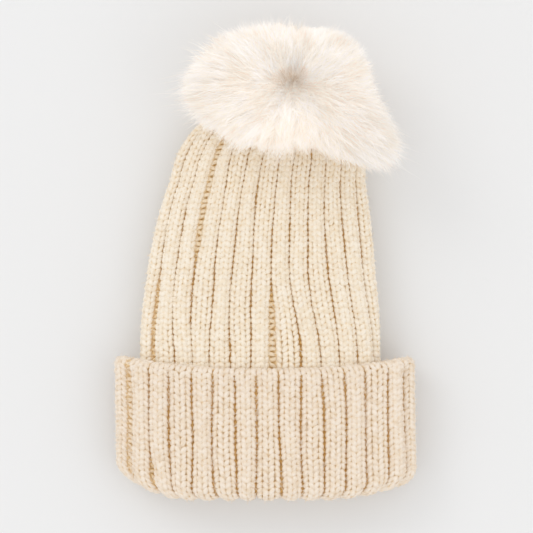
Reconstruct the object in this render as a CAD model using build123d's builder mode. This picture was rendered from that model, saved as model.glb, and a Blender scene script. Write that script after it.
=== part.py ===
from build123d import *
import math
import os

# A chunky rib-knit beanie lying flat, with a turned-up cuff and a fur pom that is held by a press stud.
# Millimetres. +X across the hat, +Y from the brim to the pom, +Z up from the table.
# The origin is the middle of the hat's footprint, on the table.

# Overall sizes
cuff_width = 195.0
cuff_height = 86.0
cuff_thickness = 44.0
cuff_bottom_y = -154.5
cuff_bow = 8.0
cuff_corner_radius = 18.0
cuff_welt_height = 6.0

# The knit
body_rib_count = 26
cuff_rib_count = 30
rib_rise = 2.8
tube_rib_flats = 4
knit_thickness = 7.0
table_flat = 1.0
layer_clearance = 0.8
yarn_sides = 6

# The body of the hat above the cuff
body_width = 154.0
body_thickness = 34.0
shoulder_width = 124.0
shoulder_y = 55.0
apex_y = 113.0
crown_lean_x = 13.0
body_offset_x = -3.5
body_drop_length = 26.0
body_taper_power = 2.2
lean_power = 3.0
tip_share = 0.955

# The two seams, both along the left fold
seam_yarn_radius = 1.1
seam_lift = 2.3

# The press stud
snap_x = 15.0
snap_y = 95.0
snap_tilt = 15.0
rosette_radius = 12.0
rosette_thickness = 6.0
running_clearance = 0.3
post_radius = 2.2
post_wall = 0.5
fitting_clearance = 0.05
stud_flange_radius = 5.5
stud_flange_thickness = 0.9
stud_neck_radius = 2.6
stud_head_radius = 3.2
stud_head_height = 2.2
stud_neck_height = 1.6
cap_radius = 6.0
cap_thickness = 1.3
patch_radius = 10.0
patch_thickness = 1.6
cinch_ring_radius = 9.0
cinch_yarn_radius = 0.9
socket_radius = 6.2
socket_height = 5.4
spring_wire_radius = 0.4
spring_gap_angle = 50.0

# The pom
gore_count = 20
gore_bands = 9
gore_reach = 0.93
felt_radius = 17.0
felt_thickness = 2.0
hide_radius = 22.0
hide_thickness = 1.5
neck_radius = 7.2
drawstring_radius = 0.8
fur_half_width = 66.0
fur_half_depth = 47.0
fur_half_height = 33.0
fur_centre_height = 43.0
fur_base_gap = 0.3

# Where things follow from the sizes above
half_cuff = cuff_thickness / 2
cuff_centre_z = half_cuff - table_flat
rim_y = cuff_bottom_y + knit_thickness
cuff_top_y = cuff_bottom_y + cuff_height
body_start_y = cuff_top_y + 4.0
body_down_y = body_start_y + body_drop_length
half_body = body_thickness / 2


def blend(a, b, share):
    """A smooth change from a to b as share goes from 0 to 1."""
    share = min(1.0, max(0.0, share))
    return a + (b - a) * share * share * (3 - 2 * share)


def knit_station(y):
    """Centre x, half width, centre z and half height of the knit tube at one place along the hat."""
    under_cuff = (y - rim_y) / (body_start_y - rim_y)
    centre_x = blend(0, body_offset_x, under_cuff)
    half_width = blend(cuff_width / 2 - knit_thickness - layer_clearance, body_width / 2, under_cuff)
    drop = (y - body_start_y) / body_drop_length
    half_height = blend(half_cuff - knit_thickness - layer_clearance, half_body, drop)
    centre_z = blend(cuff_centre_z, half_body - table_flat, drop)
    if y > body_start_y:
        lean = ((y - body_start_y) / (apex_y - body_start_y)) ** lean_power
        centre_x = body_offset_x + (crown_lean_x - body_offset_x) * lean
        taper = min(1.0, (y - body_start_y) / (shoulder_y - body_start_y)) ** body_taper_power
        half_width = body_width / 2 - (body_width - shoulder_width) / 2 * taper
    if y > shoulder_y:
        dome = (y - shoulder_y) / (apex_y - shoulder_y)
        half_width = shoulder_width / 2 * math.sqrt(1 - dome**2)
        half_height = min(half_body * math.sqrt(1 - dome**5), half_width)
        centre_z = half_height - table_flat
    return (centre_x, half_width, centre_z, half_height)


def slot_point(station, inset, share):
    """A point and its outward direction on the slot-shaped outline of a station, from the left end over the top."""
    centre_x, half_width, centre_z, half_height = station
    radius = half_height - inset
    straight = max(0.0, half_width - half_height)
    arc = math.pi * radius / 2
    length = 4 * arc + 4 * straight
    s = (share % 1.0) * length
    lengths = (arc, 2 * straight, 2 * arc, 2 * straight, arc)
    piece = 0
    while piece < 4 and s > lengths[piece]:
        s -= lengths[piece]
        piece += 1
    if piece in (1, 3):
        side = 1 if piece == 1 else -1
        x = centre_x + side * (s - straight)
        return (x, centre_z + side * radius), (0, side)
    start_angle = {0: 180, 2: 90, 4: -90}[piece]
    angle = math.radians(start_angle) - s / radius
    end_x = centre_x + (straight if piece == 2 else -straight)
    way = (math.cos(angle), math.sin(angle))
    return (end_x + radius * way[0], centre_z + radius * way[1]), way


def pitch_scale(station):
    """How full the ribs are at a station, against those of the body."""
    _, half_width, _, half_height = station
    return min(1.0, (half_width + half_height) / (body_width / 2 + half_body) * 1.6)


def rib_section(y, station, ribs, facets):
    """The outline of the rib knit at one place: ribs that meet in valleys, round or of so many flats each."""
    rise = rib_rise * pitch_scale(station)
    corners = []
    for i in range(ribs * facets):
        point, way = slot_point(station, rise, i / (ribs * facets))
        lift = rise * math.sin(math.pi * (i % facets) / facets)
        corners.append((point[0] + way[0] * lift, point[1] + way[1] * lift))
    with BuildSketch(Plane.XZ.offset(-y)) as section:
        with BuildLine():
            if facets == 2:
                for i in range(0, len(corners), 2):
                    ThreePointArc(corners[i], corners[i + 1], corners[(i + 2) % len(corners)])
            else:
                Polyline(corners, close=True)
        make_face()
    return section.sketch


def plain_section(y, station, inset):
    """A smooth slot outline, this much inside a station."""
    centre_x, half_width, centre_z, half_height = station
    radius = half_height - inset
    straight = max(0.2, half_width - half_height)
    with BuildSketch(Plane.XZ.offset(-y)) as section:
        with Locations((centre_x, centre_z)):
            SlotCenterToCenter(2 * straight, 2 * radius)
    return section.sketch


# Places along the hat where the knit tube's outline is drawn
tube_stations = [rim_y + (body_start_y - rim_y) * i / 3 for i in range(4)]
tube_stations += [body_start_y + body_drop_length * i / 2 for i in range(1, 3)]
tube_stations += [body_down_y + (shoulder_y - body_down_y) * i / 3 for i in range(1, 4)]
tube_stations += [shoulder_y + (apex_y - shoulder_y) * share for share in (0.45, 0.75, tip_share)]
cavity_stations = [y for y in tube_stations if y < apex_y - 2 * knit_thickness]

# The snap's frame: its origin is where the post crosses the knit, its Z is the post's axis
snap_station = knit_station(snap_y)
snap_z = snap_station[2] + snap_station[3] - rosette_thickness / 2
tilt_sine = math.sin(math.radians(snap_tilt))
tilt_cosine = math.cos(math.radians(snap_tilt))
snap_origin = (snap_x, snap_y, snap_z)
snap_plane = Plane(origin=snap_origin, x_dir=(1, 0, 0), z_dir=(0, tilt_sine, tilt_cosine))
turning_plane = Plane(origin=snap_origin, x_dir=(1, 0, 0), z_dir=(0, -tilt_cosine, tilt_sine))
snap_axis = Axis(snap_origin, (0, tilt_sine, tilt_cosine))

# Heights along the snap's axis
knit_top = rosette_thickness / 2
knit_under = -rosette_thickness / 2
patch_under = knit_under - patch_thickness
stud_top = knit_top + stud_flange_thickness + stud_neck_height + stud_head_height
socket_under = knit_top + stud_flange_thickness + 0.5
socket_top = socket_under + socket_height
felt_top = socket_top + felt_thickness
hide_centre = felt_top + math.sqrt(hide_radius**2 - (neck_radius + 0.8) ** 2)

# The body of the hat: a rib-knit tube, closed at the crown, with its ribs running in together
with BuildPart() as crown_knit:
    loft([rib_section(y, knit_station(y), body_rib_count, tube_rib_flats) for y in tube_stations], ruled=True)
    loft(
        [plain_section(y, knit_station(y), knit_thickness) for y in cavity_stations],
        ruled=True,
        mode=Mode.SUBTRACT,
    )
    # the hat lies flat on the table
    with BuildSketch(Plane.XY):
        Rectangle(4 * cuff_width, 4 * cuff_width)
    extrude(amount=cuff_thickness, dir=(0, 0, -1), mode=Mode.SUBTRACT)
    # the round hole that the gathered centre of the crown tilts in
    with Locations(snap_origin):
        Sphere(rosette_radius + running_clearance, mode=Mode.SUBTRACT)

# The cuff: the same knit turned up over the body, joined to it by the fold at the brim
cuff_station = (0, cuff_width / 2, cuff_centre_z, half_cuff)
with BuildPart() as turned_cuff:
    cuff_outline = rib_section(cuff_bottom_y, cuff_station, cuff_rib_count, 2)
    extrude(cuff_outline, amount=cuff_height + cuff_bow, dir=(0, 1, 0))
    with BuildSketch(Plane.XY):
        with BuildLine():
            half = cuff_width / 2
            upper_left = (-half, cuff_top_y + cuff_bow - cuff_welt_height)
            upper_right = (half, cuff_top_y + cuff_bow - cuff_welt_height)
            ThreePointArc(upper_left, (0, cuff_top_y - cuff_welt_height), upper_right)
            Line(upper_right, (half, cuff_bottom_y))
            Line((half, cuff_bottom_y), (-half, cuff_bottom_y))
            Line((-half, cuff_bottom_y), upper_left)
        make_face()
        lower_corners = vertices().sort_by(Axis.Y)[:2]
        fillet(lower_corners, cuff_corner_radius)
    extrude(amount=2 * cuff_thickness, dir=(0, 0, 1), mode=Mode.INTERSECT)
    hollow = plain_section(rim_y, cuff_station, knit_thickness)
    extrude(hollow, amount=2 * cuff_height, dir=(0, 1, 0), mode=Mode.SUBTRACT)
    mouth = plain_section(cuff_bottom_y - 1, knit_station(rim_y), knit_thickness)
    extrude(mouth, amount=2 * knit_thickness, dir=(0, 1, 0), mode=Mode.SUBTRACT)

# The cuff's free edge, where the knit ends in a smooth rolled welt
with BuildPart() as cuff_welt:
    welt_outline = plain_section(cuff_bottom_y, cuff_station, rib_rise / 2)
    extrude(welt_outline, amount=cuff_height + cuff_bow, dir=(0, 1, 0))
    extrude(hollow, amount=2 * cuff_height, dir=(0, 1, 0), mode=Mode.SUBTRACT)
    with BuildSketch(Plane.XY):
        with BuildLine():
            ThreePointArc(upper_left, (0, cuff_top_y - cuff_welt_height), upper_right)
            rise = (0, cuff_welt_height)
            outer_left = (upper_left[0], upper_left[1] + rise[1])
            outer_right = (upper_right[0], upper_right[1] + rise[1])
            ThreePointArc(outer_left, (0, cuff_top_y), outer_right)
            Line(upper_left, outer_left)
            Line(upper_right, outer_right)
        make_face()
    extrude(amount=2 * cuff_thickness, dir=(0, 0, 1), mode=Mode.INTERSECT)


def seam_path(station, y, ribs):
    """Where the seam yarn lies at one place: above the first valley, up from the left end."""
    rise = rib_rise * pitch_scale(station)
    point, way = slot_point(station, rise, 1 / ribs)
    return (point[0] + way[0] * seam_lift, y, point[1] + way[1] * seam_lift)


# The yarn that closes the tube along its left fold
seam_stations = [y for y in tube_stations if body_start_y <= y <= shoulder_y + 1]
with BuildPart() as side_seam:
    with BuildLine() as side_seam_line:
        Spline([seam_path(knit_station(y), y, body_rib_count) for y in seam_stations])
    with BuildSketch(side_seam_line.line ^ 0):
        RegularPolygon(seam_yarn_radius, yarn_sides)
    sweep()

# The same seam, turned up with the cuff
cuff_seam_start = cuff_bottom_y + cuff_corner_radius
cuff_seam_end = cuff_top_y - cuff_welt_height
with BuildPart() as cuff_seam:
    with BuildLine() as cuff_seam_line:
        Line(
            seam_path(cuff_station, cuff_seam_start, cuff_rib_count),
            seam_path(cuff_station, cuff_seam_end, cuff_rib_count),
        )
    with BuildSketch(cuff_seam_line.line ^ 0):
        RegularPolygon(seam_yarn_radius, yarn_sides)
    sweep()


def yarn_ring_section(radius, yarn_radius, level):
    """The cut through a ring of yarn that goes round the snap's axis and lies on this level."""
    with BuildSketch(turning_plane) as section:
        with Locations((radius, level + yarn_radius)):
            RegularPolygon(yarn_radius, yarn_sides)
    return section.sketch


# The gathered centre of the crown: all the ribs drawn together round the post
rosette_valleys = body_rib_count // 2
valley_width = 0.9
with BuildPart(snap_plane) as crown_rosette:
    Sphere(rosette_radius)
    Box(3 * rosette_radius, 3 * rosette_radius, rosette_thickness, mode=Mode.INTERSECT)
    Cylinder(post_radius + fitting_clearance, 2 * rosette_thickness, mode=Mode.SUBTRACT)
    with Locations((0, 0, knit_top)):
        with PolarLocations((stud_flange_radius + rosette_radius) / 2 + 0.4, rosette_valleys):
            Box(
                rosette_radius - stud_flange_radius,
                valley_width,
                1.2,
                mode=Mode.SUBTRACT,
            )

# The cinch yarn that draws the ribs together
with BuildPart() as crown_cinch_yarn:
    revolve(yarn_ring_section(cinch_ring_radius, cinch_yarn_radius, knit_top + 0.05), axis=snap_axis)

# A felt washer inside the hat that spreads the snap's pull
with BuildPart(snap_plane) as crown_patch:
    with Locations((0, 0, knit_under - patch_thickness / 2)):
        Cylinder(patch_radius, patch_thickness)
        Cylinder(post_radius + fitting_clearance, 2 * patch_thickness, mode=Mode.SUBTRACT)


def cap_and_post_profile(base, post_end, way):
    """Half the outline of a domed cap with a hollow post; way is 1 for a post that points up."""
    back = base - way * cap_thickness
    edge = base - way * cap_thickness * 0.4
    with BuildSketch(turning_plane) as profile:
        with BuildLine():
            Line((0, back), (0, base))
            Line((0, base), (post_radius - post_wall, base))
            Line((post_radius - post_wall, base), (post_radius - post_wall, post_end))
            Line((post_radius - post_wall, post_end), (post_radius, post_end))
            Line((post_radius, post_end), (post_radius, base))
            Line((post_radius, base), (cap_radius, base))
            Line((cap_radius, base), (cap_radius, edge))
            Line((cap_radius, edge), (0.6 * cap_radius, back + 0.3 * (edge - back)))
            Line((0.6 * cap_radius, back + 0.3 * (edge - back)), (0.25 * cap_radius, back))
            Line((0.25 * cap_radius, back), (0, back))
        make_face()
    return profile.sketch


# The stud's half of the snap
post_length = patch_thickness + rosette_thickness + stud_flange_thickness
with BuildPart() as snap_post_cap:
    revolve(cap_and_post_profile(patch_under, patch_under + post_length, 1), axis=snap_axis)

with BuildPart() as snap_stud:
    with BuildSketch(turning_plane):
        with BuildLine():
            bore = post_radius + fitting_clearance
            neck_foot = knit_top + stud_flange_thickness
            head_foot = neck_foot + stud_neck_height
            Line((bore, knit_top), (stud_flange_radius, knit_top))
            Line((stud_flange_radius, knit_top), (stud_flange_radius, neck_foot))
            Line((stud_flange_radius, neck_foot), (stud_neck_radius, neck_foot))
            Line((stud_neck_radius, neck_foot), (stud_neck_radius, head_foot))
            Line((stud_neck_radius, head_foot), (stud_head_radius, head_foot + 0.7))
            Line((stud_head_radius, head_foot + 0.7), (stud_head_radius, stud_top - 0.7))
            Line((stud_head_radius, stud_top - 0.7), (stud_neck_radius, stud_top))
            Line((stud_neck_radius, stud_top), (0, stud_top))
            Line((0, stud_top), (0, stud_top - 0.6))
            Line((0, stud_top - 0.6), (bore - 0.6, stud_top - 0.6))
            Line((bore - 0.6, stud_top - 0.6), (bore - 0.6, neck_foot + 0.1))
            Line((bore - 0.6, neck_foot + 0.1), (bore, neck_foot + 0.1))
            Line((bore, neck_foot + 0.1), (bore, knit_top))
        make_face()
    revolve(axis=snap_axis)

# The socket's half of the snap
spring_ring_radius = stud_neck_radius + running_clearance + spring_wire_radius
spring_level = knit_top + stud_flange_thickness + stud_neck_height - spring_wire_radius - 0.1
socket_bore = spring_ring_radius + spring_wire_radius + running_clearance
throat_radius = stud_head_radius + running_clearance
with BuildPart() as snap_socket:
    with BuildSketch(turning_plane):
        with BuildLine():
            well_top = stud_top + 0.4
            ring_foot = spring_level - spring_wire_radius - 0.15
            Line((throat_radius, socket_under), (socket_radius, socket_under))
            Line((socket_radius, socket_under), (socket_radius, socket_top))
            Line((socket_radius, socket_top), (post_radius + fitting_clearance, socket_top))
            Line((post_radius + fitting_clearance, socket_top), (post_radius + fitting_clearance, well_top))
            Line((post_radius + fitting_clearance, well_top), (socket_bore, well_top))
            Line((socket_bore, well_top), (socket_bore, ring_foot))
            Line((socket_bore, ring_foot), (throat_radius, ring_foot))
            Line((throat_radius, ring_foot), (throat_radius, socket_under))
        make_face()
    revolve(axis=snap_axis)

# The wire ring that grips the stud under its head, open at one side so that it can spread
with BuildPart() as snap_spring:
    with BuildSketch(turning_plane):
        with Locations((spring_ring_radius, spring_level)):
            RegularPolygon(spring_wire_radius, yarn_sides)
    revolve(axis=snap_axis, revolution_arc=360 - spring_gap_angle)

with BuildPart() as snap_socket_cap:
    revolve(cap_and_post_profile(felt_top, socket_top - 1.0, -1), axis=snap_axis)


def gored_ball(half_width, half_depth, half_height, level):
    """A ball of flat panels in gores, in the snap's own frame, widest at this level on its axis."""

    def corner(band, gore):
        fall = math.pi * (band / gore_bands - 0.5) * gore_reach
        turn = 2 * math.pi * gore / gore_count
        across = half_width * math.cos(fall) * math.cos(turn)
        along = half_depth * math.cos(fall) * math.sin(turn)
        return (across, along, level + half_height * math.sin(fall))

    gores = range(gore_count)
    panels = [Face(Wire.make_polygon([corner(band, k) for k in gores])) for band in (0, gore_bands)]
    for band in range(gore_bands):
        for k in gores:
            corners = [corner(band, k), corner(band, k + 1), corner(band + 1, k + 1), corner(band + 1, k)]
            panels.append(Face(Wire.make_polygon(corners)))
    return Solid(Shell(panels))


# The pom: a felt base, a drawn-up bag of hide, its drawstring, its stuffing and its fur
with BuildPart(snap_plane) as pom_felt_disc:
    with Locations((0, 0, felt_top - felt_thickness / 2)):
        Cylinder(felt_radius, felt_thickness)
        Cylinder(post_radius + fitting_clearance, 2 * felt_thickness, mode=Mode.SUBTRACT)

with BuildPart(snap_plane) as pom_skin:
    add(gored_ball(hide_radius, hide_radius, hide_radius, hide_centre))
    inner = hide_radius - hide_thickness
    add(gored_ball(inner, inner, inner, hide_centre), mode=Mode.SUBTRACT)
    Cylinder(neck_radius, hide_centre, align=(Align.CENTER, Align.CENTER, Align.MIN), mode=Mode.SUBTRACT)
    Cylinder(
        hide_radius,
        felt_top,
        align=(Align.CENTER, Align.CENTER, Align.MIN),
        mode=Mode.SUBTRACT,
    )

with BuildPart(snap_plane) as pom_stuffing:
    fill = inner - running_clearance
    add(gored_ball(fill, fill, fill, hide_centre))
    Cylinder(
        hide_radius,
        felt_top + cap_thickness + running_clearance,
        align=(Align.CENTER, Align.CENTER, Align.MIN),
        mode=Mode.SUBTRACT,
    )

drawstring_level = felt_top + drawstring_radius + 0.05
drawstring_reach = hide_radius + drawstring_radius + 0.1
drawstring_ring_radius = math.sqrt(drawstring_reach**2 - (hide_centre - drawstring_level) ** 2)
with BuildPart() as pom_drawstring:
    drawstring_section = yarn_ring_section(drawstring_ring_radius, drawstring_radius, felt_top + 0.05)
    revolve(drawstring_section, axis=snap_axis)

with BuildPart(snap_plane) as pom_fur:
    add(gored_ball(fur_half_width, fur_half_depth, fur_half_height, fur_centre_height))
    fur_under = felt_top - felt_thickness + fur_base_gap
    with Locations((0, 0, fur_under - fur_half_height)):
        Box(4 * fur_half_width, 4 * fur_half_width, 2 * fur_half_height, mode=Mode.SUBTRACT)
    nest = hide_radius + fitting_clearance
    add(gored_ball(nest, nest, nest, hide_centre), mode=Mode.SUBTRACT)
    neck_top = drawstring_level + drawstring_radius + fur_base_gap
    Cylinder(
        felt_radius + fur_base_gap,
        neck_top,
        align=(Align.CENTER, Align.CENTER, Align.MIN),
        mode=Mode.SUBTRACT,
    )

pieces = {
    "crown_knit": crown_knit,
    "turned_cuff": turned_cuff,
    "cuff_welt": cuff_welt,
    "side_seam": side_seam,
    "cuff_seam": cuff_seam,
    "crown_rosette": crown_rosette,
    "crown_cinch_yarn": crown_cinch_yarn,
    "crown_patch": crown_patch,
    "snap_post_cap": snap_post_cap,
    "snap_stud": snap_stud,
    "snap_socket": snap_socket,
    "snap_spring": snap_spring,
    "snap_socket_cap": snap_socket_cap,
    "pom_felt_disc": pom_felt_disc,
    "pom_skin": pom_skin,
    "pom_stuffing": pom_stuffing,
    "pom_drawstring": pom_drawstring,
    "pom_fur": pom_fur,
}
os.makedirs("parts", exist_ok=True)
for name, piece in pieces.items():
    piece.part.label = name
    export_step(piece.part, f"parts/{name}.step")
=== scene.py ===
import bmesh
import bpy
import math
import numpy as np
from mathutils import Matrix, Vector


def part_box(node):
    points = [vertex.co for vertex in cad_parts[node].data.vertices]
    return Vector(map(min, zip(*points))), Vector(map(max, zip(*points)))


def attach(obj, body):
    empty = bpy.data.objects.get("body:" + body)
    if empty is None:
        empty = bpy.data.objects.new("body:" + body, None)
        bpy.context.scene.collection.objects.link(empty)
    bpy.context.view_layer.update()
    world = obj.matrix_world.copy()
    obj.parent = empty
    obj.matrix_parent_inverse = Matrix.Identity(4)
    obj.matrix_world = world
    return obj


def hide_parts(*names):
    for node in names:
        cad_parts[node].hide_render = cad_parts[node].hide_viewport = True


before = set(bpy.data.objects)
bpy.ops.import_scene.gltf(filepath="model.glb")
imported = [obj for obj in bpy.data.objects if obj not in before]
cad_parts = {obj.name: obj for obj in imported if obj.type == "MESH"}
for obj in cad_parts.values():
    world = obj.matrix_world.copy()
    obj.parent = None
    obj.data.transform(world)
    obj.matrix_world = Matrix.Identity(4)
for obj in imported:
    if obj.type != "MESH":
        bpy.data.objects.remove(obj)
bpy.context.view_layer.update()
rng = np.random.default_rng(11)

MM = 0.001
cuff_low, cuff_high = (np.array(corner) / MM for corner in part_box("turned_cuff"))
crown_low, crown_high = (np.array(corner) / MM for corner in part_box("crown_knit"))
hide_low, hide_high = (np.array(corner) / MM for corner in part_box("pom_skin"))

# ---------------------------------------------------------------- sizes of the knit (mm and degrees)
ROW = 3.6
YARN_WIDTH = 1.95  # half the width of one leg of a stitch
YARN_HEIGHT = 1.6  # half its thickness
LEG_SLANT = 0.11
LEG_ROWS = 0.74  # half the length of a leg, in rows
RIB_ROLL = 82  # how far a rib's sides turn down
FABRIC = 7.0
BODY_RIBS = 26
CUFF_RIBS = 30
RIB_RISE = 5.0
FOLD_RADIUS = 7.0
WELT_RADIUS = 3.3
SECTION_POWER = 2.7
BRIM_Y = cuff_low[1]
CUFF_TOP_Y = crown_low[1] + 76.5
CUFF_HALF_WIDTH = 96.5
CUFF_HALF_HEIGHT = (cuff_high[2] - cuff_low[2]) / 2 - 1.6
FOOT = 2.0
CUFF_MIDDLE_Z = CUFF_HALF_HEIGHT + FOOT
BODY_HALF_WIDTH = 77.0
BODY_HALF_HEIGHT = 16.0
SHOULDER_HALF_WIDTH = 62.5
SHOULDER_Y = 54.0
APEX_Y = crown_high[1] + 1.5
BODY_X = -3.5
APEX_X = 13.0
BODY_DROP = 26.0  # run over which the body comes down from the cuff's height
TUCKED_LENGTH = 60.0  # the body's first rows lie this far above the brim, inside the cuff
ROUND_STEPS = 720  # steps round a tube in its table of places


def smoothstep(t):
    t = np.clip(t, 0.0, 1.0)
    return t * t * (3 - 2 * t)


# ---------------------------------------------------------------- the shape of the flat hat
def body_station(y):
    """Middle x, half width, middle z and half height of the body's tube at y."""
    y = np.asarray(y, float)
    start = CUFF_TOP_Y + 2.0
    under = (y - BRIM_Y - FOLD_RADIUS) / (start - BRIM_Y - FOLD_RADIUS)
    drop = smoothstep((y - start) / BODY_DROP)
    width = (CUFF_HALF_WIDTH - FABRIC) * (1 - smoothstep(under)) + BODY_HALF_WIDTH * smoothstep(under)
    taper = np.clip((y - start) / (SHOULDER_Y - start), 0, 1) ** 2.2
    width = np.where(y > start, BODY_HALF_WIDTH - (BODY_HALF_WIDTH - SHOULDER_HALF_WIDTH) * taper, width)
    dome = np.clip((y - SHOULDER_Y) / (APEX_Y - SHOULDER_Y), 0, 1)
    width = np.where(dome > 0, SHOULDER_HALF_WIDTH * np.sqrt(1 - dome**2), width)
    tucked = CUFF_HALF_HEIGHT - FABRIC - 0.3
    height = tucked + (BODY_HALF_HEIGHT - tucked) * drop
    height = np.where(dome > 0, np.minimum(BODY_HALF_HEIGHT * np.sqrt(1 - dome**4), width), height)
    middle_z = CUFF_MIDDLE_Z + (BODY_HALF_HEIGHT + FOOT - CUFF_MIDDLE_Z) * drop
    middle_z = np.where(dome > 0, height + FOOT, middle_z)
    lean = np.clip((y - start) / (APEX_Y - start), 0, 1) ** 3
    middle_x = BODY_X * smoothstep(under) + (APEX_X - BODY_X) * lean
    return middle_x, width, middle_z, height


def section_table(width, height):
    """Points round a flattened tube at equal steps of length, from the left end over the top."""
    turn = np.linspace(math.pi, -math.pi, 4001)
    cosine, sine = np.cos(turn), np.sin(turn)
    x = width * np.sign(cosine) * np.abs(cosine) ** (2 / SECTION_POWER)
    z = height * np.sign(sine) * np.abs(sine) ** (2 / SECTION_POWER)
    length = np.concatenate([[0], np.cumsum(np.hypot(np.diff(x), np.diff(z)))])
    wanted = np.linspace(0, length[-1], ROUND_STEPS + 1)
    return np.stack([np.interp(wanted, length, x), np.interp(wanted, length, z)], 1)


class Cloth:
    """A tube of knit as a table of places: share round the tube (0 to 1) and row along it."""

    def __init__(self, stations):
        """Each station is one step along the tube: middle x, half width, middle z, half height, y."""
        self.steps = len(stations)
        self.grid = np.zeros((self.steps, ROUND_STEPS + 1, 3))
        for i, (middle_x, width, middle_z, height, y) in enumerate(stations):
            flat = section_table(max(width, 0.3), max(height, 0.3))
            self.grid[i, :, 0] = flat[:, 0] + middle_x
            self.grid[i, :, 2] = flat[:, 1] + middle_z
            self.grid[i, :, 1] = y(self.grid[i, :, 0]) if callable(y) else y
        across = np.roll(self.grid[:, :-1], -3, 1) - np.roll(self.grid[:, :-1], 3, 1)
        across = np.concatenate([across, across[:, :1]], 1)
        along = np.gradient(self.grid, axis=0)
        normal = np.cross(across, along)
        self.normal = normal / np.maximum(np.linalg.norm(normal, axis=2, keepdims=True), 1e-9)

    def at(self, share, along, lift):
        """Places at a share round the tube, a step along it, and a height above the cloth."""
        share = np.mod(share, 1.0) * ROUND_STEPS
        along = np.clip(along, 0, self.steps - 1.0001)
        i, j = np.floor(along).astype(int), np.floor(share).astype(int)
        s, t = (along - i)[:, None], (share - j)[:, None]
        k = (j + 1) % (ROUND_STEPS + 1)
        place = (self.grid[i, j] * (1 - t) + self.grid[i, k] * t) * (1 - s)
        place += (self.grid[i + 1, j] * (1 - t) + self.grid[i + 1, k] * t) * s
        way = (self.normal[i, j] * (1 - t) + self.normal[i, k] * t) * (1 - s)
        way += (self.normal[i + 1, j] * (1 - t) + self.normal[i + 1, k] * t) * s
        way /= np.maximum(np.linalg.norm(way, axis=1, keepdims=True), 1e-9)
        return place + way * lift[:, None], way


def body_cloth():
    """The body's outer side, one step for each row, from inside the cuff to the gathered tip."""
    fine = np.linspace(BRIM_Y + TUCKED_LENGTH, APEX_Y, 4001)
    _, width, _, _ = body_station(fine)
    run = np.concatenate([[0], np.cumsum(np.hypot(np.diff(fine), np.diff(width)))])
    rows = np.interp(np.arange(0, run[-1], ROW), run, fine)
    rows = np.append(rows, APEX_Y)
    return Cloth([(*(float(v) for v in body_station(y)), float(y)) for y in rows]), rows


def brim_bow(x):
    """How far the brim's edge curves up towards the two corners."""
    left = 20.0 * np.clip((-x - 45) / 52, 0, 1.05) ** 2.2
    right = 13.0 * np.clip((x - 30) / 68, 0, 1.05) ** 2.2
    return left + right


def welt_bow(x):
    """How far the cuff's free edge curves up towards the two folds."""
    return 7.0 * np.clip(np.abs(x - 2) / 92, 0, 1.1) ** 2.2


def cuff_path():
    """The cuff's way from inside the brim, round the fold, up the outside and over its rolled edge.

    Each step is a y and how far it lies in from the outside. Also gives the row where the rolled edge starts.
    """
    path = [(BRIM_Y + FOLD_RADIUS + 15 - s, 2 * FOLD_RADIUS) for s in np.arange(0, 15, ROW)]
    fold_rows = round(math.pi * FOLD_RADIUS / ROW)
    for i in range(fold_rows):
        angle = math.pi * i / fold_rows
        path.append((BRIM_Y + FOLD_RADIUS * (1 - math.sin(angle)), FOLD_RADIUS * (1 + math.cos(angle))))
    outside = CUFF_TOP_Y - WELT_RADIUS - BRIM_Y - FOLD_RADIUS
    outside_rows = round(outside / ROW)
    for i in range(outside_rows):
        path.append((BRIM_Y + FOLD_RADIUS + outside * i / outside_rows, 0.0))
    roll_rows = round(math.pi * WELT_RADIUS / ROW)
    for i in range(roll_rows + 1):
        angle = math.pi * i / roll_rows
        path.append((CUFF_TOP_Y - WELT_RADIUS * (1 - math.sin(angle)), WELT_RADIUS * (1 - math.cos(angle))))
    path += [(CUFF_TOP_Y - WELT_RADIUS - s, 2 * WELT_RADIUS) for s in np.arange(ROW, 26, ROW)]
    return path, len(path) - roll_rows - 10


def cuff_cloth():
    """The cuff's outer side, one step for each row, and the row where its rolled edge starts."""
    path, welt_start = cuff_path()
    stations = []
    for y, inset in path:
        share = (y - BRIM_Y) / (CUFF_TOP_Y - BRIM_Y)

        def edge(x, y=y, share=share):
            return y + brim_bow(x) * (1 - share) ** 1.5 + welt_bow(x) * share

        lean = 1.2 * (1 - share)
        stations.append((lean - 0.6, CUFF_HALF_WIDTH - inset, CUFF_MIDDLE_Z, CUFF_HALF_HEIGHT - inset, edge))
    return Cloth(stations), welt_start


# ---------------------------------------------------------------- meshes that are wrapped on the cloth
def new_piece(name, mesh, material, body="hat"):
    """Shows a mesh as a piece that rides on one body."""
    piece = bpy.data.objects.new(name, mesh)
    bpy.context.scene.collection.objects.link(piece)
    mesh.materials.clear()
    mesh.materials.append(material)
    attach(piece, body)
    return piece


def strand_template(sides=7, rings=6):
    """One short fat piece of yarn: a ball drawn out along z, fuller than an egg at its ends."""
    bm = bmesh.new()
    bmesh.ops.create_uvsphere(bm, u_segments=sides, v_segments=rings, radius=1.0)
    for vertex in bm.verts:
        flat = math.hypot(vertex.co.x, vertex.co.y)
        if 0.01 < flat < 0.99:
            vertex.co.x *= flat**-0.3
            vertex.co.y *= flat**-0.3
    mesh = bpy.data.meshes.new("strand")
    bm.to_mesh(mesh)
    bm.free()
    return mesh


def ribbon_template(segments):
    """One hair: a flat strip along y from 0 to 1 that ends in a point."""
    bm = bmesh.new()
    bmesh.ops.create_grid(bm, x_segments=1, y_segments=segments, size=0.5)
    for vertex in bm.verts:
        vertex.co = (vertex.co.x * 2, vertex.co.y + 0.5, 0)
    tip = [vertex for vertex in bm.verts if vertex.co.y > 0.999]
    bmesh.ops.pointmerge(bm, verts=tip, merge_co=(0, 1, 0))
    mesh = bpy.data.meshes.new("ribbon")
    bm.to_mesh(mesh)
    bm.free()
    return mesh


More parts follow.
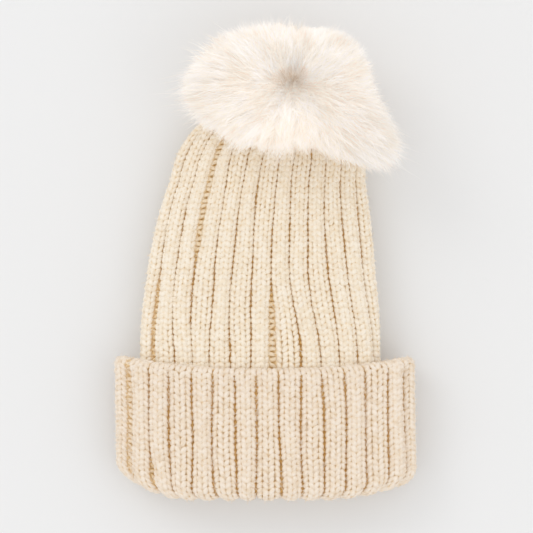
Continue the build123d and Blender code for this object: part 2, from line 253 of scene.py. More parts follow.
def many(template, count, name):
    """A mesh of this many copies of a template, one after another."""
    worker = bpy.data.objects.new(name, template.copy())
    bpy.context.scene.collection.objects.link(worker)
    array = worker.modifiers.new("copies", "ARRAY")
    array.use_relative_offset = False
    array.use_constant_offset = True
    array.constant_offset_displace = (0, 0, 0)
    array.count = count
    evaluated = worker.evaluated_get(bpy.context.evaluated_depsgraph_get())
    mesh = bpy.data.meshes.new_from_object(evaluated)
    mesh.name = name
    bpy.data.objects.remove(worker)
    return mesh


def coordinates(mesh):
    """A mesh's vertices as an array."""
    flat = np.zeros(len(mesh.vertices) * 3, np.float32)
    mesh.vertices.foreach_get("co", flat)
    return flat.reshape(-1, 3).astype(float)


def put(mesh, places, painted_shade_and_tone):
    """Moves a mesh's vertices to these places, in mm, and keeps each vertex's painted shade and tone, mostly
    from how deep it lies among the strands.

    A place that would lie on or under the floor is pressed up to just above it.
    """
    under = places[:, 2] < 1.0
    places[under, 2] = 0.2 + 0.8 * np.exp((places[under, 2] - 1.0) / 2.0)
    mesh.vertices.foreach_set("co", (places * MM).astype(np.float32).ravel())
    attribute = mesh.attributes.new("painted_shade_and_tone", "FLOAT", "POINT")
    attribute.data.foreach_set("value", painted_shade_and_tone.astype(np.float32))
    mesh.polygons.foreach_set("use_smooth", [True] * len(mesh.polygons))
    mesh.update()


# ---------------------------------------------------------------- the ribs
def smooth_noise(x, seed, octaves=2):
    """A smooth wandering value between about -1 and 1."""
    total = np.zeros_like(np.asarray(x, float))
    for octave in range(octaves):
        phase = np.sin(seed * 12.9898 + octave * 78.233) * 43758.5453
        phase = phase - np.floor(phase)
        total += np.sin((x * (0.7 + 0.9 * octave) + phase * 6.283) * (1 + 0.3 * phase)) / (1 + octave)
    return total / 1.5


class Ribs:
    """Where the ribs of a tube of knit lie: their valleys, as shares round the tube, and how open each is."""

    def __init__(self, count, girth, first_valley, widths, wander, gaps, even_rows=None):
        """The first valley's place and the front ribs' widths are in mm. The other ribs share the rest.

        Between even_rows the ribs change over to equal widths.
        """
        self.even_rows = even_rows
        self.count = count
        others = count - len(widths)
        widths = np.array(list(widths) + [(girth - sum(widths)) / others] * others)
        self.girth = girth
        self.valleys = (first_valley + np.concatenate([[0], np.cumsum(widths)])) / girth
        self.wander = wander
        self.gaps = gaps

    def valley(self, number, along):
        """Where a valley lies, as a share round the tube: it wanders a little along the hat."""
        turn = np.mod(number, self.count)
        place = self.valleys[number]
        if self.even_rows:
            first, last = self.even_rows
            place = place + (number / self.count - place) * smoothstep((along - first) / (last - first))
        return place + self.wander / self.count * smooth_noise(along * 0.16, turn * 1.7 + 3)

    def sides(self, rib, along):
        """Left and right side of a rib, after half of each valley's gap is taken off."""
        after = np.mod(rib + 1, self.count)
        left = self.valley(rib, along) + self.gaps(rib, along) / 2
        right = self.valley(rib + 1, along) - self.gaps(after, along) / 2
        return left, right


def cloth_length(cloth, along):
    """Length round the tube at each step along it."""
    steps = np.linalg.norm(np.diff(cloth.grid, axis=1), axis=2).sum(1)
    return np.interp(along, np.arange(cloth.steps), steps)


def knit_stitches(name, cloth, ribs, rows, depth, lean):
    """Two columns of stitches to a rib and two legs to a stitch; lean is 1 where the legs part upward."""
    template = strand_template()
    shape = coordinates(template)
    across_yarn, out_yarn, along_yarn = shape[None, :, 0], shape[None, :, 1], shape[None, :, 2]
    columns, legs = [-0.46, 0.46], [-1.0, 1.0]
    grids = np.meshgrid(np.arange(ribs.count), np.asarray(rows), columns, legs, indexing="ij")
    rib, row, column, leg = (grid.ravel() for grid in grids)
    count = len(rib)
    mesh = many(template, count, name)
    chance = rng.standard_normal((4, count, 1))
    across = column[:, None] + leg[:, None] * (0.23 + lean * LEG_SLANT * along_yarn) + 0.012 * chance[0]
    along = row[:, None] + 0.5 + LEG_ROWS * along_yarn + 0.05 * chance[1]
    left, right = ribs.sides(rib, row.astype(float))
    length = cloth_length(cloth, row)[:, None]
    middle, half = (left + right)[:, None] / 2, (right - left)[:, None] / 2 * length
    relief = depth(along)
    crowding = np.clip(length / ribs.girth, 0.3, 1)
    angle = np.arcsin(np.clip(across * math.sin(math.radians(RIB_ROLL)), -0.99, 0.99))
    x = half * across * (1.08 - 0.14 * relief)
    out = -RIB_RISE * relief * crowding * (1 - np.cos(angle)) / (1 - math.cos(math.radians(RIB_ROLL)))
    tilt = 0.85 * angle * relief
    thick = (1 + 0.07 * chance[2]) * crowding
    arch = 0.55 * (1 - along_yarn**2) - 0.3 * along_yarn * lean
    up = YARN_HEIGHT * thick * out_yarn + arch + 0.12 * chance[3]
    aside = YARN_WIDTH * thick * across_yarn
    x = x + aside * np.cos(tilt) + up * np.sin(tilt)
    out = out + up * np.cos(tilt) - aside * np.sin(tilt)
    places, _ = cloth.at((middle + x / length).ravel(), along.ravel(), out.ravel())
    # Painted shade: the stitches turn darker down the valleys and on the undersides of the legs.
    valley = np.clip((-out - 1.9) / 2.2, 0, 1) * relief
    under = np.clip(0.5 - 0.55 * up / YARN_HEIGHT, 0, 1)
    put(mesh, places, np.clip(valley + 0.7 * under, 0, 1).ravel())
    return mesh


def purl_bumps(name, cloth, ribs, rows, depth):
    """The purl stitches at the bottom of each valley: short beads across it."""
    template = strand_template(6, 5)
    shape = np.array([vertex.co[:] for vertex in template.vertices])
    rib, row = np.meshgrid(np.arange(ribs.count), np.asarray(rows), indexing="ij")
    rib, row = rib.ravel(), row.ravel().astype(float)
    count = len(rib)
    mesh = many(template, count, name)
    length = cloth_length(cloth, row)
    valley = ribs.valley(rib, row)
    gap = ribs.gaps(rib, row) * length
    jitter = rng.standard_normal((count, 3))
    reach = 1.5 + gap / 2
    x = shape[None, :, 2] * reach[:, None] + 0.45 * jitter[:, :1]
    slant = np.where((row.astype(int) % 2 == 0), 0.26, -0.26)[:, None] + 0.14 * jitter[:, 1:2]
    y = shape[None, :, 0] * 1.6 / ROW + slant * shape[None, :, 2] + 0.06 * jitter[:, 2:3]
    open_lift = np.clip(gap / 4.0, 0, 1)
    relief = depth(row)
    crowding = np.clip(length / ribs.girth, 0.3, 1)
    base = (-RIB_RISE * 0.95 + 1.4 * open_lift) * relief * crowding - 0.5
    out = base[:, None] + shape[None, :, 1] * 1.1 + 0.5 * (1 - shape[None, :, 2] ** 2) * open_lift[:, None]
    share = valley[:, None] + x / length[:, None]
    places, _ = cloth.at(share.ravel(), (row[:, None] + 0.5 + y).ravel(), out.ravel())
    # Painted shade: the beads are darker in a closed valley, lighter where it stands open, and darker on the
    # side facing into the cloth.
    painted_shade_and_tone = np.clip((0.95 - 0.6 * open_lift)[:, None] - 0.25 * shape[None, :, 1], 0, 1)
    put(mesh, places, painted_shade_and_tone.ravel())
    return mesh


def backing(name, cloth, ribs, first, last, depth):
    """The cloth behind the stitches, with the ribs' relief, closed into a tube."""
    around = ribs.count * 8
    steps = int((last - first) * 2) + 1
    bm = bmesh.new()
    bmesh.ops.create_grid(bm, x_segments=around, y_segments=steps - 1, size=0.5)
    mesh = bpy.data.meshes.new(name)
    bm.to_mesh(mesh)
    bm.free()
    flat = coordinates(mesh)
    rib_place = (flat[:, 0] + 0.5) * ribs.count
    along = first + (flat[:, 1] + 0.5) * (last - first)
    rib = np.clip(np.floor(rib_place).astype(int), 0, ribs.count - 1)
    part = rib_place - rib
    share = ribs.valley(rib, along) * (1 - part) + ribs.valley(rib + 1, along) * part
    relief = depth(along)
    crowding = np.clip(cloth_length(cloth, along) / ribs.girth, 0.3, 1)
    out = (-RIB_RISE * relief * (np.abs(2 * part - 1) ** 2.2) - 1.2) * crowding
    places, _ = cloth.at(share, along, out)
    # Painted shade: the backing is darker towards the bottom of each valley.
    put(mesh, places, np.abs(2 * part - 1) ** 2)
    bm = bmesh.new()
    bm.from_mesh(mesh)
    bmesh.ops.remove_doubles(bm, verts=bm.verts, dist=0.00002)
    bm.to_mesh(mesh)
    bm.free()
    return mesh


# ---------------------------------------------------------------- materials
def new_group(name, inputs, output, kind):
    """A shader node group with these named inputs and one output."""
    group = bpy.data.node_groups.new(name, "ShaderNodeTree")
    for label, socket_kind, default in inputs:
        socket = group.interface.new_socket(label, in_out="INPUT", socket_type=socket_kind)
        socket.default_value = default
    group.interface.new_socket(output, in_out="OUTPUT", socket_type=kind)
    entry = group.nodes.new("NodeGroupInput")
    leave = group.nodes.new("NodeGroupOutput")
    return group, entry.outputs, leave.inputs[output]


def grain_group():
    """Fine noise fixed to the piece, for fibres, felt and metal grain."""
    inputs = (("Scale", "NodeSocketFloat", 400.0), ("Detail", "NodeSocketFloat", 4.0))
    group, entry, leave = new_group("grain", inputs, "Grain", "NodeSocketFloat")
    place = group.nodes.new("ShaderNodeTexCoord")
    noise = group.nodes.new("ShaderNodeTexNoise")
    group.links.new(place.outputs["Object"], noise.inputs["Vector"])
    group.links.new(entry["Scale"], noise.inputs["Scale"])
    group.links.new(entry["Detail"], noise.inputs["Detail"])
    group.links.new(noise.outputs["Fac"], leave)
    return group


def painted_shade_group():
    """Paints shade: goes from the colour of the outside over a middle shade colour to the darkest painted
    shade deep between the strands.
    """
    inputs = (
        ("Depth", "NodeSocketFloat", 0.0),
        ("Outside", "NodeSocketColor", (1, 1, 1, 1)),
        ("Middle", "NodeSocketColor", (1, 1, 1, 1)),
        ("Deep", "NodeSocketColor", (1, 1, 1, 1)),
    )
    group, entry, leave = new_group("painted_shade_colour", inputs, "Colour", "NodeSocketColor")
    colour = entry["Outside"]
    for first, last, target in ((0.05, 0.5, "Middle"), (0.5, 0.95, "Deep")):
        step = group.nodes.new("ShaderNodeMapRange")
        step.inputs["From Min"].default_value = first
        step.inputs["From Max"].default_value = last
        group.links.new(entry["Depth"], step.inputs["Value"])
        mix = group.nodes.new("ShaderNodeMixRGB")
        group.links.new(step.outputs["Result"], mix.inputs["Fac"])
        group.links.new(colour, mix.inputs["Color1"])
        group.links.new(entry[target], mix.inputs["Color2"])
        colour = mix.outputs["Color"]
    group.links.new(colour, leave)
    return group


def patch_group():
    """Tints a colour in soft patches."""
    inputs = (
        ("Colour", "NodeSocketColor", (1, 1, 1, 1)),
        ("Tint", "NodeSocketColor", (1, 1, 1, 1)),
        ("Amount", "NodeSocketFloat", 0.5),
        ("Scale", "NodeSocketFloat", 100.0),
    )
    group, entry, leave = new_group("patches", inputs, "Colour", "NodeSocketColor")
    place = group.nodes.new("ShaderNodeTexCoord")
    noise = group.nodes.new("ShaderNodeTexNoise")
    noise.inputs["Detail"].default_value = 4
    group.links.new(place.outputs["Object"], noise.inputs["Vector"])
    group.links.new(entry["Scale"], noise.inputs["Scale"])
    step = group.nodes.new("ShaderNodeMapRange")
    step.inputs["From Min"].default_value = 0.37
    step.inputs["From Max"].default_value = 0.59
    group.links.new(noise.outputs["Fac"], step.inputs["Value"])
    tint = group.nodes.new("ShaderNodeMixRGB")
    tint.inputs["Color2"].default_value = (1, 1, 1, 1)
    group.links.new(step.outputs["Result"], tint.inputs["Fac"])
    group.links.new(entry["Tint"], tint.inputs["Color1"])
    tone = group.nodes.new("ShaderNodeMixRGB")
    tone.blend_type = "MULTIPLY"
    group.links.new(entry["Amount"], tone.inputs["Fac"])
    group.links.new(entry["Colour"], tone.inputs["Color1"])
    group.links.new(tint.outputs["Color"], tone.inputs["Color2"])
    group.links.new(tone.outputs["Color"], leave)
    return group


grain = grain_group()
painted_shade_colour = painted_shade_group()
patches = patch_group()


def placed(material, group, **values):
    """Puts a node group in a material with its own values."""
    node = material.node_tree.nodes.new("ShaderNodeGroup")
    node.node_tree = group
    for label, value in values.items():
        node.inputs[label].default_value = value
    return node


def roughened(material, shader, mask, strength, distance):
    """Turns a mask into small bumps of the surface."""
    bump = material.node_tree.nodes.new("ShaderNodeBump")
    bump.inputs["Strength"].default_value = strength
    bump.inputs["Distance"].default_value = distance
    material.node_tree.links.new(mask, bump.inputs["Height"])
    material.node_tree.links.new(bump.outputs["Normal"], shader.inputs["Normal"])


def strand_material(name, outside, middle, deep, tint, amount, scale, painted_glow):
    """The colour of yarn or hair: painted shade by depth among the strands, in soft patches, with a faint
    painted glow that lifts the shade.
    """
    material = bpy.data.materials.new(name)
    material.use_nodes = True
    links = material.node_tree.links
    shader = material.node_tree.nodes["Principled BSDF"]
    painted_shade_and_tone = material.node_tree.nodes.new("ShaderNodeAttribute")
    painted_shade_and_tone.attribute_name = "painted_shade_and_tone"
    painted_shade_node = placed(material, painted_shade_colour, Outside=(*outside, 1), Middle=(*middle, 1), Deep=(*deep, 1))
    patchy = placed(material, patches, Tint=(*tint, 1), Amount=amount, Scale=scale)
    links.new(painted_shade_and_tone.outputs["Fac"], painted_shade_node.inputs["Depth"])
    links.new(painted_shade_node.outputs["Colour"], patchy.inputs["Colour"])
    links.new(patchy.outputs["Colour"], shader.inputs["Base Color"])
    # Painted light: a faint glow in the material's own colour lifts the shade, where there is no lamp.
    links.new(patchy.outputs["Colour"], shader.inputs["Emission Color"])
    shader.inputs["Emission Strength"].default_value = painted_glow
    return material, shader


def yarn_material(name, outside, middle, deep):
    """Matt wool with a fine fibre bump."""
    material, shader = strand_material(name, outside, middle, deep, (0.86, 0.74, 0.54), 0.38, 320, 0.11)
    fibres = placed(material, grain, Scale=1100)
    roughened(material, shader, fibres.outputs["Grain"], 0.5, 0.0006)
    shader.inputs["Roughness"].default_value = 0.92
    shader.inputs["Sheen Weight"].default_value = 0.25
    shader.inputs["Sheen Roughness"].default_value = 0.6
    return material


def hair_material(name, outside, deep):
    """Fur: a soft sheen and large pale patches."""
    middle = tuple((a + b) / 2 for a, b in zip(outside, deep))
    material, shader = strand_material(name, outside, middle, deep, (0.93, 0.88, 0.80), 0.5, 70, 0.225)
    shader.inputs["Roughness"].default_value = 0.75
    shader.inputs["Sheen Weight"].default_value = 0.2
    return material


def plain_material(name, colour, roughness=0.5, metallic=0.0, scale=400, strength=0.2):
    """Felt, hide, thread or metal: one colour with a fine grain."""
    material = bpy.data.materials.new(name)
    material.use_nodes = True
    nodes, links = material.node_tree.nodes, material.node_tree.links
    shader = nodes["Principled BSDF"]
    speckle = placed(material, grain, Scale=scale, Detail=5)
    shade = nodes.new("ShaderNodeValToRGB")
    shade.color_ramp.elements[0].position = 0.3
    shade.color_ramp.elements[0].color = (*(c * 0.82 for c in colour), 1)
    shade.color_ramp.elements[1].position = 0.7
    shade.color_ramp.elements[1].color = (*colour, 1)
    links.new(speckle.outputs["Grain"], shade.inputs["Fac"])
    links.new(shade.outputs["Color"], shader.inputs["Base Color"])
    roughened(material, shader, speckle.outputs["Grain"], strength, 0.0004)
    shader.inputs["Roughness"].default_value = roughness
    shader.inputs["Metallic"].default_value = metallic
    return material


# CREAM is the yarn's own colour; the honey and gold colours are painted shade for the creases between the
# strands.
CREAM = (0.79, 0.695, 0.59)
SHADE_HONEY = (0.80, 0.60, 0.30)
SHADE_GOLD = (0.77, 0.49, 0.14)
knit_yarn = yarn_material("cream_yarn", CREAM, SHADE_HONEY, SHADE_GOLD)
body_yarn = yarn_material("body_yarn", (0.825, 0.745, 0.63), SHADE_HONEY, SHADE_GOLD)
# The cloth behind the stitches is painted in darker golden colours, as painted shade between the stitches.
backing_yarn_painted_shade = yarn_material("backing_yarn_painted_shade", (0.84, 0.72, 0.54), (0.82, 0.66, 0.42), (0.76, 0.54, 0.24))
# The hair's deep colour is painted shade at the roots and in the whorl; it also serves the tone that differs
# at random between hairs and locks.
pom_hair = hair_material("pom_hair", (0.93, 0.90, 0.865), (0.64, 0.50, 0.37))


# ---------------------------------------------------------------- knit the body and the cuff
def body_gaps(rib, along):
    """Share of the tube that each valley stands open by."""
    gap = 0.0006 + 0.0016 * smooth_noise(along * 0.35, rib * 2.3 + 1)
    beside_pom = smoothstep((along - 24) / 6) * (1 - smoothstep((along - 47) / 6))
    gap = gap + np.where(rib == 3, 0.013 * beside_pom, 0)
    gap = gap + np.where(rib == 7, 0.012 * (1 - smoothstep((along - 16) / 6)), 0)
    gap = gap + np.where(rib == 1, 0.008 * (1 - smoothstep((along - 19) / 6)), 0)
    return gap


def cuff_gaps(rib, along):
    """Share of the cuff's tube that each valley stands open by."""
    gap = 0.0006 + 0.0012 * smooth_noise(along * 0.35, rib * 2.3 + 1)
    gap = gap + np.where(rib == 1, 0.009, 0)
    gap = gap + np.where(rib == 2, 0.006 * (1 - smoothstep((along - 12) / 4)), 0)
    return gap


body, body_rows = body_cloth()
cuff, welt_start = cuff_cloth()


def body_depth(along):
    """The body's ribs stand up all the way."""
    return np.ones_like(along)


def cuff_depth(along):
    """The cuff's ribs sink into its rolled edge."""
    return 1 - 0.9 * smoothstep((along - welt_start - 0.4) / 2.2)


body_widths = (13.1, 13.5, 11.8, 12.9, 12.4, 13.5, 15.7, 17.2, 13.5, 11.9, 12.9, 11.6)
body_ribs = Ribs(BODY_RIBS, cloth_length(body, 10), -1.9, body_widths, 0.10, body_gaps, (6, 26))
cuff_widths = (14.4, 15.5, 13.1, 14.7, 13.9, 14.6, 14.0, 15.2, 14.6, 14.0, 14.5, 13.9, 14.7, 12.0)
cuff_ribs = Ribs(CUFF_RIBS, cloth_length(cuff, 20), -1.1, cuff_widths, 0.09, cuff_gaps)

body_stitches = knit_stitches("body_stitches", body, body_ribs, range(len(body_rows) - 1), body_depth, 1)
cuff_stitches = knit_stitches("cuff_stitches", cuff, cuff_ribs, range(cuff.steps - 6), cuff_depth, -1)


def fuzz(name, cloth, ribs, rows, depth, count, length, seed):
    """Loose fibres that stand off the yarn and soften the knit's edges."""
    local = np.random.default_rng(seed)
    template = ribbon_template(3)
    shape = coordinates(template)
    mesh = many(template, count, name)
    share = local.random(count)
    along = rows[0] + (rows[1] - rows[0]) * local.random(count)
    part = np.mod(share * ribs.count, 1.0)
    relief = depth(along)
    out = -RIB_RISE * relief * np.abs(2 * part - 1) ** 3 + 0.9
    share = ribs.valley(np.floor(share * ribs.count).astype(int), along) + part / ribs.count
    root, way = cloth.at(share, along, out)
    aim = local.standard_normal((count, 3))
    aim = aim - (aim * way).sum(1, keepdims=True) * way
    aim /= np.linalg.norm(aim, axis=1, keepdims=True)
    reach = (length * (0.4 + local.random(count)))[:, None]
    bend = local.standard_normal((count, 3)) * 0.5
    s = shape[None, :, 1, None]
    rise = (0.25 + 0.6 * local.random(count))[:, None, None]
    curve = root[:, None] + s * reach[:, None] * aim[:, None]
    curve = curve + s * (1.4 - s) * reach[:, None] * rise * way[:, None]
    curve = curve + s**2 * bend[:, None]
    side = np.cross(aim, way)[:, None]
    places = curve + side * shape[None, :, 0, None] * 0.16 * (1 - 0.5 * s)
    put(mesh, places.reshape(-1, 3), np.zeros(count * len(shape)))
    return mesh


def split_stitches(mesh, name, material, parts):
    """Splits a mesh of loose stitches into pieces of equal share, so that none is too heavy."""
    size = len(mesh.polygons)
    pieces = []
    for i in range(parts):
        copy = mesh.copy()
        first, last = size * i // parts, size * (i + 1) // parts
        bm = bmesh.new()
        bm.from_mesh(copy)
        bm.faces.ensure_lookup_table()
        gone = [face for face in bm.faces if not first <= face.index < last]
        bmesh.ops.delete(bm, geom=gone, context="FACES")
        bm.to_mesh(copy)
        bm.free()
        pieces.append(new_piece(f"{name}_{i + 1}", copy, material))
    return pieces


body_pieces = split_stitches(body_stitches, "body_ribs", body_yarn, 4)
cuff_pieces = split_stitches(cuff_stitches, "cuff_ribs", knit_yarn, 2)
body_beads = purl_bumps("body_purl", body, body_ribs, range(len(body_rows) - 1), body_depth)
cuff_beads = purl_bumps("cuff_purl", cuff, cuff_ribs, range(cuff.steps - 6), cuff_depth)
body_purl = new_piece("body_purl", body_beads, body_yarn)
cuff_purl = new_piece("cuff_purl", cuff_beads, knit_yarn)
body_fibres = fuzz("body_fuzz", body, body_ribs, (0, body.steps - 2), body_depth, 14000, 4.0, 31)
cuff_fibres = fuzz("cuff_fuzz", cuff, cuff_ribs, (2, cuff.steps - 9), cuff_depth, 12000, 4.0, 32)
body_fuzz = new_piece("body_fuzz", body_fibres, body_yarn)
cuff_fuzz = new_piece("cuff_fuzz", cuff_fibres, knit_yarn)
body_tube = backing("body_backing", body, body_ribs, 0, body.steps - 1.01, body_depth)
cuff_tube = backing("cuff_backing", cuff, cuff_ribs, 0, cuff.steps - 1.01, cuff_depth)
body_back = new_piece("body_backing", body_tube, backing_yarn_painted_shade)
cuff_back = new_piece("cuff_backing", cuff_tube, backing_yarn_painted_shade)
for piece in (*body_pieces, body_purl, body_fuzz, body_back):
    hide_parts("crown_knit")
for piece in (*cuff_pieces, cuff_purl, cuff_fuzz, cuff_back):
    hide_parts("turned_cuff", "cuff_welt")
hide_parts("side_seam")
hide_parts("cuff_seam")

# ---------------------------------------------------------------- the pom
WHORL = np.array([17.9, 119.0])
POM_MIDDLE_Z = 60.0
POM_TOP = 41.0
POM_UNDER = 36.0
WHORL_DIP = 3.0
POM_REACH = (
    (0, 50), (28, 45), (60, 34), (90, 29), (125, 37), (152, 50),
    (172, 65), (186, 71), (206, 66), (232, 51), (262, 43), (284, 45),
    (298, 54), (308, 72), (319, 92), (329, 82), (338, 64), (347, 53),
)


def pom_reach(turn):
    """How far the pom reaches from its whorl, seen from above, at each turn."""
    angles = np.radians([a for a, _ in POM_REACH] + [360 + POM_REACH[0][0]])
    reach = np.array([r for _, r in POM_REACH] + [POM_REACH[0][1]], float)
    turn = np.mod(turn, 2 * math.pi)
    sharp = np.interp(turn, angles, reach)
    soft = sum(np.interp(np.mod(turn + d, 2 * math.pi), angles, reach) for d in (-0.16, -0.08, 0.08, 0.16))
    return (sharp + soft) / 5


def pom_surface(fall, turn, size=1.0):
    """A place on the pom's outside: fall from the whorl (0) over the side (90 degrees) to below."""
    fall = np.clip(fall, 0, math.pi)
    reach = pom_reach(turn) * np.sin(fall) ** 0.86 * size
    level = np.sign(np.cos(fall)) * np.abs(np.cos(fall)) ** 0.86
    height = np.where(level > 0, POM_TOP, POM_UNDER) * level * size
    height = height - WHORL_DIP * np.exp(-((fall / 0.26) ** 2))
    return np.stack([
        WHORL[0] + reach * np.cos(turn),
        WHORL[1] + reach * np.sin(turn),
        POM_MIDDLE_Z + height,
    ], -1)


def pom_hairs(name, count, low, high, length, width, seed, reach=1.0, spread=0.035):
    """Hairs that rise from the hide and lie over one another away from the whorl."""
    local = np.random.default_rng(seed)
    template = ribbon_template(5)
    shape = np.array([vertex.co[:] for vertex in template.vertices])
    mesh = many(template, count, name)
    hide_middle = (hide_low + hide_high) / 2
    hide_radius = (hide_high[0] - hide_low[0]) / 2
    locks = count // 75
    lock_fall = np.radians(low + (high - low) * local.random(locks))
    lock_turn = 2 * math.pi * local.random(locks)
    lock = local.integers(0, locks, count)
    fall = lock_fall[lock] + np.radians(7) * local.standard_normal(count)
    narrow = np.maximum(np.sin(lock_fall[lock]), 0.25)
    turn = lock_turn[lock] + np.radians(7) * local.standard_normal(count) / narrow
    fall = np.clip(np.abs(fall), math.radians(0.5), math.radians(165))
    lock_lay = 0.7 + 0.35 * local.random(locks)
    lay = lock_lay[lock] + 0.15 * local.random(count) + 0.3 * local.random(count) ** 4
    lay = np.radians(length) * lay
    end_fall = fall + lay * np.clip(fall / math.radians(24), 0.04, 1) + 0.7 * (lock_fall[lock] - fall)
    lock_swing = 0.10 * local.standard_normal(locks)[lock]
    swirl = 0.16 * np.sin(2 * turn + 0.6)
    end_turn = turn + swirl + lock_swing + 0.72 * (lock_turn[lock] - turn)
    end_turn = end_turn + 0.03 * local.standard_normal(count)
    size = reach + 0.06 * local.standard_normal(locks)[lock] + spread * local.standard_normal(count)
    root_way = np.stack([np.sin(fall) * np.cos(turn), np.sin(fall) * np.sin(turn), np.cos(fall)], -1)
    root = hide_middle + root_way * hide_radius * 0.98
    shoulder = pom_surface(0.65 * fall + 0.35 * end_fall, turn * 0.7 + end_turn * 0.3, 0.94)
    tip = pom_surface(end_fall, end_turn)
    centre = np.array([WHORL[0], WHORL[1], POM_MIDDLE_Z])
    tip = centre + (tip - centre) * size[:, None]
    s = shape[None, :, 1, None]
    curve = root[:, None] * (1 - s) ** 2 + 2 * shoulder[:, None] * s * (1 - s) + tip[:, None] * s**2
    kink = 0.9 * np.sin(s * 9 + 6.28 * local.random((count, 1, 1))) * s
    way = 2 * (shoulder - root)[:, None] * (1 - s) + 2 * (tip - shoulder)[:, None] * s
    way /= np.maximum(np.linalg.norm(way, axis=-1, keepdims=True), 1e-6)
    outward = curve - np.array([hide_middle[0], hide_middle[1], hide_middle[2] - 4])
    outward /= np.linalg.norm(outward, axis=-1, keepdims=True)
    side = np.cross(way, outward)
    side /= np.maximum(np.linalg.norm(side, axis=-1, keepdims=True), 1e-6)
    curve = curve + side * kink
    breadth = width * (1 - 0.85 * s**1.5) * (0.7 + 0.6 * local.random((count, 1, 1)))
    places = curve + side * shape[None, :, 0, None] * breadth
    # Painted shade: hairs darker towards their roots and in the whorl's parting; the rest is tone that
    # differs at random by hair and by lock.
    deep = 0.35 * np.clip(1 - s[..., 0] * 1.25, 0, 1) ** 1.5 + 0.4 * local.random((count, 1)) ** 3
    deep = deep + 0.22 * (local.random(locks) ** 2)[lock][:, None]
    whorl_painted_shade = np.exp(-((np.degrees(fall) / 2.6) ** 2))[:, None]
    deep = deep + 0.6 * whorl_painted_shade * (0.4 + 0.6 * local.random((count, 1)))
    put(mesh, places.reshape(-1, 3), np.broadcast_to(deep, places.shape[:2]).ravel())
    across = np.cross(side, way)
    normal = outward + 0.35 * across * np.sign((across * outward).sum(-1, keepdims=True))
    normal += 0.28 * local.standard_normal((count, 1, 3))
    normal /= np.linalg.norm(normal, axis=-1, keepdims=True)
    mesh.normals_split_custom_set_from_vertices(normal.reshape(-1, 3))
    return new_piece(name, mesh, pom_hair, "pom")


def pom_undercoat():
    """The dense short wool under the long hair."""
    bm = bmesh.new()
    bmesh.ops.create_uvsphere(bm, u_segments=96, v_segments=48, radius=1.0)
    mesh = bpy.data.meshes.new("pom_undercoat")
    bm.to_mesh(mesh)
    bm.free()
    flat = coordinates(mesh)
    fall = np.arccos(np.clip(flat[:, 2], -1, 1))
    turn = np.arctan2(flat[:, 1], flat[:, 0])
    places = pom_surface(fall, turn, 0.82)
    # Painted shade: the whole undercoat takes a darker colour, as it lies under the long hair.
    put(mesh, places, np.full(len(flat), 0.45))
    return new_piece("pom_undercoat", mesh, pom_hair, "pom")


fur_pieces = [pom_undercoat()]
fur_pieces.append(pom_hairs("pom_hair_whorl", 6000, 0, 24, 24, 0.24, 20))
fur_pieces.append(pom_hairs("pom_hair_crown", 19000, 10, 62, 38, 0.28, 21))
fur_pieces.append(pom_hairs("pom_hair_side", 20000, 40, 100, 34, 0.28, 22))
fur_pieces.append(pom_hairs("pom_hair_under", 12000, 85, 150, 24, 0.22, 23))
fur_pieces.append(pom_hairs("pom_wisps", 4500, 25, 115, 50, 0.18, 24, 1.08, 0.11))
for piece in fur_pieces:
    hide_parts("pom_fur")

# ---------------------------------------------------------------- finishes of the carried-over pieces
finishes = {
    "crown_rosette": knit_yarn,
    "crown_cinch_yarn": plain_material("cinch_yarn", (0.80, 0.68, 0.50), 0.9),
    "crown_patch": plain_material("pressed_felt", (0.86, 0.80, 0.70), 0.95, 0, 900, 0.5),
    "snap_post_cap": plain_material("nickel", (0.72, 0.70, 0.66), 0.28, 1.0, 300, 0.05),
    "snap_spring": plain_material("spring_wire", (0.60, 0.60, 0.60), 0.35, 1.0, 600, 0.05),
    "pom_skin": plain_material("suede_hide", (0.80, 0.70, 0.58), 0.85, 0, 500, 0.4),
    "pom_stuffing": plain_material("stuffing_fibre", (0.90, 0.90, 0.88), 0.95, 0, 700, 0.6),
    "pom_drawstring": plain_material("drawstring_thread", (0.88, 0.84, 0.76), 0.8, 0, 900, 0.4),
}
finishes["pom_felt_disc"] = finishes["crown_patch"]
for name in ("snap_stud", "snap_socket", "snap_socket_cap"):
    finishes[name] = finishes["snap_post_cap"]
for name, material in finishes.items():
    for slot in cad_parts[name].material_slots:
        slot.material = material

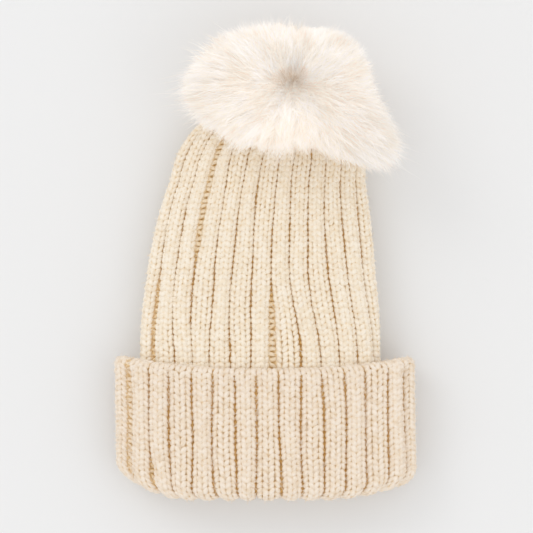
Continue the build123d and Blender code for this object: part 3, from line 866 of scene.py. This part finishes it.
# ---------------------------------------------------------------- stage
bm = bmesh.new()
bmesh.ops.create_grid(bm, x_segments=1, y_segments=1, size=3.0)
floor_mesh = bpy.data.meshes.new("floor")
bm.to_mesh(floor_mesh)
bm.free()
floor = bpy.data.objects.new("floor", floor_mesh)
bpy.context.scene.collection.objects.link(floor)
floor_paint = bpy.data.materials.new("floor_paint")
floor_paint.use_nodes = True
floor_shader = floor_paint.node_tree.nodes["Principled BSDF"]
floor_shader.inputs["Base Color"].default_value = (0.80, 0.80, 0.80, 1)
floor_shader.inputs["Roughness"].default_value = 0.9
floor_mesh.materials.append(floor_paint)

world = bpy.data.worlds.new("studio")
bpy.context.scene.world = world
world.use_nodes = True
backdrop = world.node_tree.nodes["Background"]
backdrop.inputs["Color"].default_value = (1, 1, 1, 1)
backdrop.inputs["Strength"].default_value = 0.99


def lamp(name, place, target, size, power):
    """A round soft lamp that looks at a point."""
    light = bpy.data.lights.new(name, "AREA")
    light.shape = "DISK"
    light.size = size
    light.energy = power
    holder = bpy.data.objects.new(name, light)
    holder.location = place
    holder.rotation_euler = (Vector(target) - Vector(place)).to_track_quat("-Z", "Y").to_euler()
    bpy.context.scene.collection.objects.link(holder)


lamp("key_light", (-2.2, 2.0, 2.6), (0, 0, 0), 2.0, 17.0)
lamp("fill_light", (2.2, -1.2, 3.2), (0, 0, 0), 2.4, 6.0)

VIEW_WIDTH = 0.3465
VIEW_MIDDLE = (0.00065, -0.0036, 0.035)
LENS = 300.0
SENSOR = 36.0
distance = VIEW_WIDTH * LENS / SENSOR
camera_data = bpy.data.cameras.new("camera")
camera_data.lens = LENS
camera_data.sensor_width = SENSOR
camera_data.clip_end = 20
camera = bpy.data.objects.new("camera", camera_data)
camera.location = (VIEW_MIDDLE[0], VIEW_MIDDLE[1], VIEW_MIDDLE[2] + distance)
camera.rotation_euler = (0, 0, 0)
bpy.context.scene.collection.objects.link(camera)
bpy.context.scene.camera = camera
bpy.context.scene.view_settings.view_transform = "Standard"
